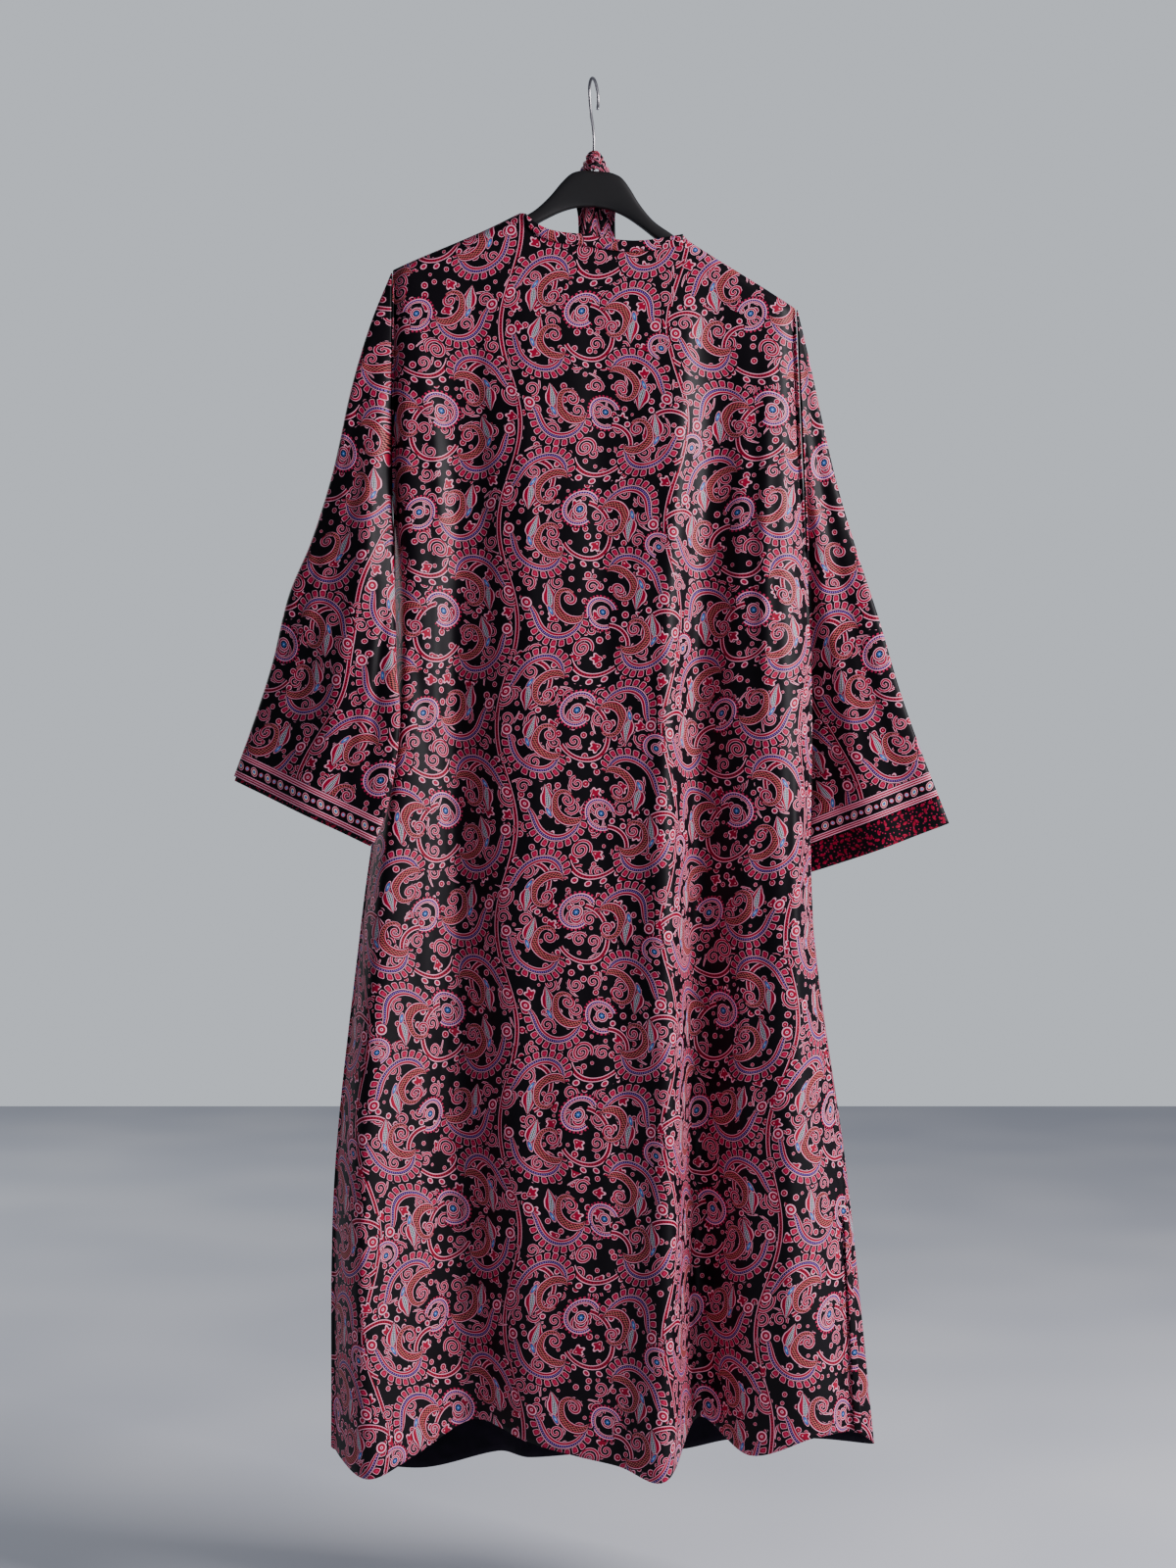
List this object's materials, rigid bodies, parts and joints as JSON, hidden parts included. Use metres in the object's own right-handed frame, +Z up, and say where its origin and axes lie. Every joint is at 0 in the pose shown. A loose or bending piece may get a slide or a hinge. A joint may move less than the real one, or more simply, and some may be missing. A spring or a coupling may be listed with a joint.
{
  "type": "open-front robe hung on a contoured clothes hanger",
  "caption": "Long straight robe of printed cloth with wide sleeves and a side vent, hanging on a contoured hanger with its sash over the hook.",
  "frame": {"origin": "inside top of the hook, where a rail carries the hanger", "axes": "+Z up, -Y the side of the robe's back, +X the wearer's right"},
  "size_m": [0.7518, 0.1416, 1.4791],
  "materials": {
    "print": "matt printed cloth",
    "band": "matt printed cloth",
    "hanger": "matt black",
    "hook": "dull bright wire"
  },
  "bodies": {
    "root": {"hanger_body": "hanger", "hanger_hook": "hook", "back_panel": "print", "front_left": "print", "front_right": "print", "sleeve_left": "print", "sleeve_right": "print", "cuff_band_left": "band", "cuff_band_right": "band", "neck_binding": "print", "front_binding_left": "print", "front_binding_right": "print", "sash": "print"}
  },
  "joints": []
}
